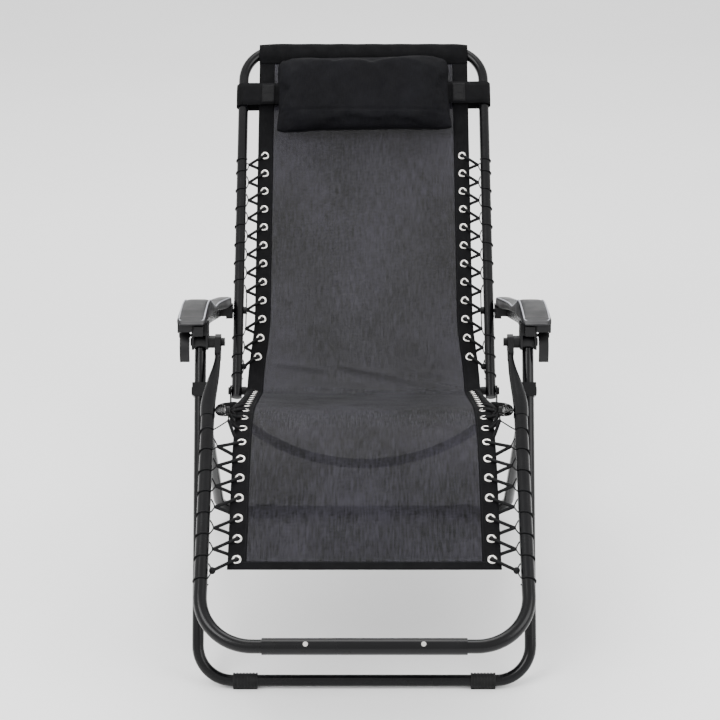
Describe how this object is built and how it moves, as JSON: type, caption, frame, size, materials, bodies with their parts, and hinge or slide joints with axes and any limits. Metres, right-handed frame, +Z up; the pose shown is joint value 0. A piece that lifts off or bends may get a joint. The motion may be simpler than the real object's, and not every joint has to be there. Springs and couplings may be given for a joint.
{
  "type": "zero gravity recliner",
  "caption": "Folding lounge recliner: steel tube base, laced mesh sling, sliding armrests with lock levers, raised leg rest and a sliding headrest pillow.",
  "frame": {"origin": "centre of the chair's outline at floor level", "axes": "+Z up, -Y the way the sitter faces, +X to the right of someone looking along +Y at the chair's front"},
  "size_m": [0.71, 1.471, 0.925],
  "materials": {
    "black_tube": "gloss black powder coat",
    "black_plastic": "textured black moulding",
    "rubber": "ribbed black rubber",
    "mesh_fabric": "grey-black coated mesh",
    "woven_fabric": "black woven polyester",
    "elastic_cord": "black braided elastic",
    "nickel": "bright nickel",
    "black_steel_hardware": "black oxide steel"
  },
  "bodies": {
    "base": {"front_leg": "black_tube", "front_foot_left": "rubber", "front_foot_right": "rubber", "rear_pivot_bracket_left": "black_tube", "rear_pivot_bracket_right": "black_tube", "rear_pivot_bolt_left": "black_steel_hardware", "rear_pivot_bolt_right": "black_steel_hardware", "leg_knuckle_left": "black_plastic", "leg_knuckle_right": "black_plastic", "pivot_stub_left": "black_plastic", "pivot_stub_right": "black_plastic", "arm_pivot_bolt_left": "black_steel_hardware", "arm_pivot_bolt_right": "black_steel_hardware"},
    "rear_legs": {"rear_leg": "black_tube", "rear_leg_eye_left": "black_tube", "rear_leg_eye_right": "black_tube", "rear_foot_left": "rubber", "rear_foot_right": "rubber"},
    "seat": {"legrest_frame": "black_tube", "hip_rivets": "black_steel_hardware", "knee_bolts": "black_steel_hardware", "seat_cross_tube": "black_tube", "foot_bar_sleeve": "black_tube", "foot_bar_screws": "nickel", "sling_seat": "mesh_fabric", "grommets_seat": "nickel", "lacing_seat": "elastic_cord", "legrest_strut_left": "black_tube", "legrest_strut_right": "black_tube", "seat_rail_left": "black_tube", "seat_rail_right": "black_tube", "hip_plate_left": "black_tube", "hip_plate_right": "black_tube"},
    "back": {"back_frame": "black_tube", "sling_back": "mesh_fabric", "grommets_back": "nickel", "lacing_back": "elastic_cord", "back_end_cap_left": "black_plastic", "back_end_cap_right": "black_plastic", "hip_bolt_left": "black_steel_hardware", "hip_bolt_right": "black_steel_hardware", "arm_rear_bolt_left": "black_steel_hardware", "arm_rear_bolt_right": "black_steel_hardware"},
    "headrest": {"headrest_straps": "woven_fabric", "headrest_pillow": "woven_fabric"},
    "housing_left": {"lock_housing_left": "black_plastic", "lever_pin_left": "black_steel_hardware"},
    "arm_left": {"arm_rail_left": "black_tube", "arm_rail_cap_left": "black_plastic", "arm_rear_bracket_left": "black_plastic", "arm_pad_left": "black_plastic"},
    "lever_left": {"lock_lever_left": "black_plastic"},
    "housing_right": {"lock_housing_right": "black_plastic", "lever_pin_right": "black_steel_hardware"},
    "arm_right": {"arm_rail_right": "black_tube", "arm_rail_cap_right": "black_plastic", "arm_rear_bracket_right": "black_plastic", "arm_pad_right": "black_plastic"},
    "lever_right": {"lock_lever_right": "black_plastic"}
  },
  "joints": [
    {"name": "recline", "type": "hinge", "parent": "base", "child": "seat", "pos_m": [0, -0.21066, 0.575], "axis": [-1, 0, 0], "range_deg": [-10, 10]},
    {"name": "back_recline", "type": "hinge", "parent": "seat", "child": "back", "pos_m": [0, 0.14934, 0.313], "axis": [-1, 0, 0], "range_deg": [-8.6, 8.6]},
    {"name": "rear_leg_fold", "type": "hinge", "parent": "base", "child": "rear_legs", "pos_m": [0, -0.23219, 0.48157], "axis": [-1, 0, 0], "range_deg": [0, 66]},
    {"name": "headrest_slide", "type": "slide", "parent": "back", "child": "headrest", "axis": [0, -0.6947, -0.7193], "range_m": [-0.01, 0.3]},
    {"name": "arm_tilt_left", "type": "hinge", "parent": "base", "child": "housing_left", "pos_m": [-0.314, -0.21066, 0.575], "axis": [-1, 0, 0], "range_deg": [-12, 12]},
    {"name": "arm_slide_left", "type": "slide", "parent": "housing_left", "child": "arm_left", "axis": [0, 0.9669, -0.2552], "range_m": [-0.025, 0.025]},
    {"name": "lock_lever_left_swing", "type": "hinge", "parent": "housing_left", "child": "lever_left", "pos_m": [-0.336, -0.21675, 0.59109], "axis": [-1, 0, 0], "range_deg": [-55, 0]},
    {"name": "arm_tilt_right", "type": "hinge", "parent": "base", "child": "housing_right", "pos_m": [0.314, -0.21066, 0.575], "axis": [-1, 0, 0], "range_deg": [-12, 12]},
    {"name": "arm_slide_right", "type": "slide", "parent": "housing_right", "child": "arm_right", "axis": [0, 0.9669, -0.2552], "range_m": [-0.025, 0.025]},
    {"name": "lock_lever_right_swing", "type": "hinge", "parent": "housing_right", "child": "lever_right", "pos_m": [0.336, -0.21675, 0.59109], "axis": [-1, 0, 0], "range_deg": [-55, 0]}
  ],
  "couplings": [
    {"joint": "back_recline", "follows": "recline", "ratio": 0.85},
    {"joint": "arm_tilt_left", "follows": "recline", "ratio": 1.1513},
    {"joint": "arm_slide_left", "follows": "recline", "m_per_rad": 0.13707},
    {"joint": "arm_tilt_right", "follows": "recline", "ratio": 1.1513},
    {"joint": "arm_slide_right", "follows": "recline", "m_per_rad": 0.13707}
  ]
}
